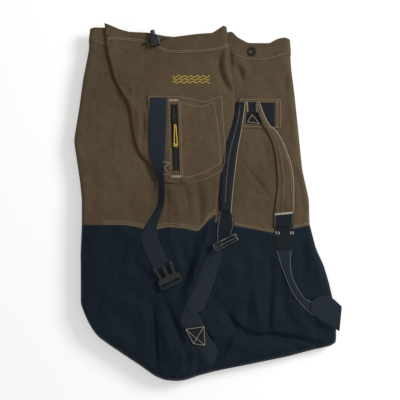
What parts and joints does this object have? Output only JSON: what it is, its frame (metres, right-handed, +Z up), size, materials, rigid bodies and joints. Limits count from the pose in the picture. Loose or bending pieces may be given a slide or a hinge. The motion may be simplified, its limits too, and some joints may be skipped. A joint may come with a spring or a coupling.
{
  "type": "chest waders",
  "caption": "Chest waders folded flat: drawcord bib with zipped chest pocket, padded shoulder straps, webbing with buckles, folded legs and booties.",
  "frame": {"origin": "under the middle of the folded outline, on the surface the waders lie on", "axes": "+X across the bib to the right as it is seen from above, +Y up the bib to its mouth, +Z up out of the bib's outer face"},
  "size_m": [0.59, 0.791, 0.0718],
  "materials": {
    "brown_canvas": "dull tight canvas with a faint nap",
    "navy_nylon": "matt plain-woven nylon",
    "slate_webbing": "woven polyester webbing",
    "black_webbing": "woven black webbing with pale stitching",
    "neoprene": "knit-faced neoprene",
    "black_cord": "braided cord",
    "zip_tape": "woven zip tape",
    "zip_coil": "moulded nylon coil",
    "black_plastic": "fine moulded texture",
    "dark_metal": "gunmetal lacquer",
    "spring_steel": "bright wire",
    "yellow_cord": "tight braided cord"
  },
  "bodies": {
    "waders": {"bib_front_panel": "brown_canvas", "bib_back_panel": "brown_canvas", "front_hem_casing": "brown_canvas", "side_hem_casing": "brown_canvas", "back_hem_casing": "brown_canvas", "pocket_backing": "brown_canvas", "pocket_panel": "brown_canvas", "pocket_placket": "brown_canvas", "back_patch": "brown_canvas", "right_shoulder_pad": "brown_canvas", "hip_front_panel": "navy_nylon", "hip_back_panel": "navy_nylon", "left_leg": "navy_nylon", "right_leg": "navy_nylon", "left_shoulder_pad": "navy_nylon", "front_strap": "slate_webbing", "left_webbing": "slate_webbing", "left_webbing_tail": "slate_webbing", "right_webbing": "slate_webbing", "right_webbing_fold": "slate_webbing", "left_pad_loop": "slate_webbing", "right_pad_loop": "slate_webbing", "right_pad_tab": "slate_webbing", "strap_anchor_tab": "slate_webbing", "strap_anchor_patch": "black_webbing", "sewn_strap_end": "black_webbing", "left_bootie": "neoprene", "right_bootie": "neoprene", "drawcord": "black_cord", "zipper_tape_left": "zip_tape", "zipper_tape_right": "zip_tape", "zipper_coil_left": "zip_coil", "zipper_coil_right": "zip_coil", "hem_eyelet": "dark_metal", "hem_eyelet_washer": "dark_metal", "zipper_top_stop": "dark_metal", "zipper_bottom_stop": "dark_metal"},
    "zipper_slider": {"zipper_slider": "dark_metal"},
    "zipper_pull": {"zipper_pull_tab": "black_plastic", "zipper_pull_cord": "yellow_cord"},
    "cord_lock": {"cord_lock_barrel": "black_plastic", "cord_lock_spring": "spring_steel"},
    "cord_lock_button": {"cord_lock_button": "black_plastic"},
    "male_buckle": {"male_buckle_frame": "black_plastic"},
    "buckle_prong_left": {"male_buckle_prong_left": "black_plastic"},
    "buckle_prong_right": {"male_buckle_prong_right": "black_plastic"},
    "left_adjuster": {"left_adjuster": "black_plastic"}
  },
  "joints": [
    {"name": "zip_slide", "type": "slide", "parent": "waders", "child": "zipper_slider", "axis": [0.0349, -0.9994, 0], "range_m": [-0.012, 0.105]},
    {"name": "zip_pull_flip", "type": "hinge", "parent": "zipper_slider", "child": "zipper_pull", "pos_m": [-0.07417, 0.18697, 0.057], "axis": [-0.9994, -0.0349, 0], "range_deg": [0, 140]},
    {"name": "cord_lock_slide", "type": "slide", "parent": "waders", "child": "cord_lock", "axis": [0.9703, 0.2419, 0], "range_m": [-0.004, 0.004]},
    {"name": "cord_lock_press", "type": "slide", "parent": "cord_lock", "child": "cord_lock_button", "axis": [0.2419, -0.9703, 0], "range_m": [0, 0.004], "stiffness_N_per_m": 400, "springref_m": -0.003},
    {"name": "buckle_flip", "type": "hinge", "parent": "waders", "child": "male_buckle", "pos_m": [-0.079, -0.179, 0.0582], "axis": [0.8988, 0.4384, 0], "range_deg": [0, 150]},
    {"name": "prong_left_squeeze", "type": "hinge", "parent": "male_buckle", "child": "buckle_prong_left", "pos_m": [-0.10329, -0.16615, 0.0582], "axis": [0, 0, -1], "range_deg": [0, 7], "stiffness_Nm_per_rad": 0.15, "springref_deg": -1.72},
    {"name": "prong_right_squeeze", "type": "hinge", "parent": "male_buckle", "child": "buckle_prong_right", "pos_m": [-0.07417, -0.15194, 0.0582], "axis": [0, 0, 1], "range_deg": [0, 7], "stiffness_Nm_per_rad": 0.15, "springref_deg": -1.72},
    {"name": "adjuster_tilt", "type": "hinge", "parent": "waders", "child": "left_adjuster", "pos_m": [0.03448, -0.08004, 0.0545], "axis": [-0.891, -0.454, 0], "range_deg": [0, 50]}
  ]
}
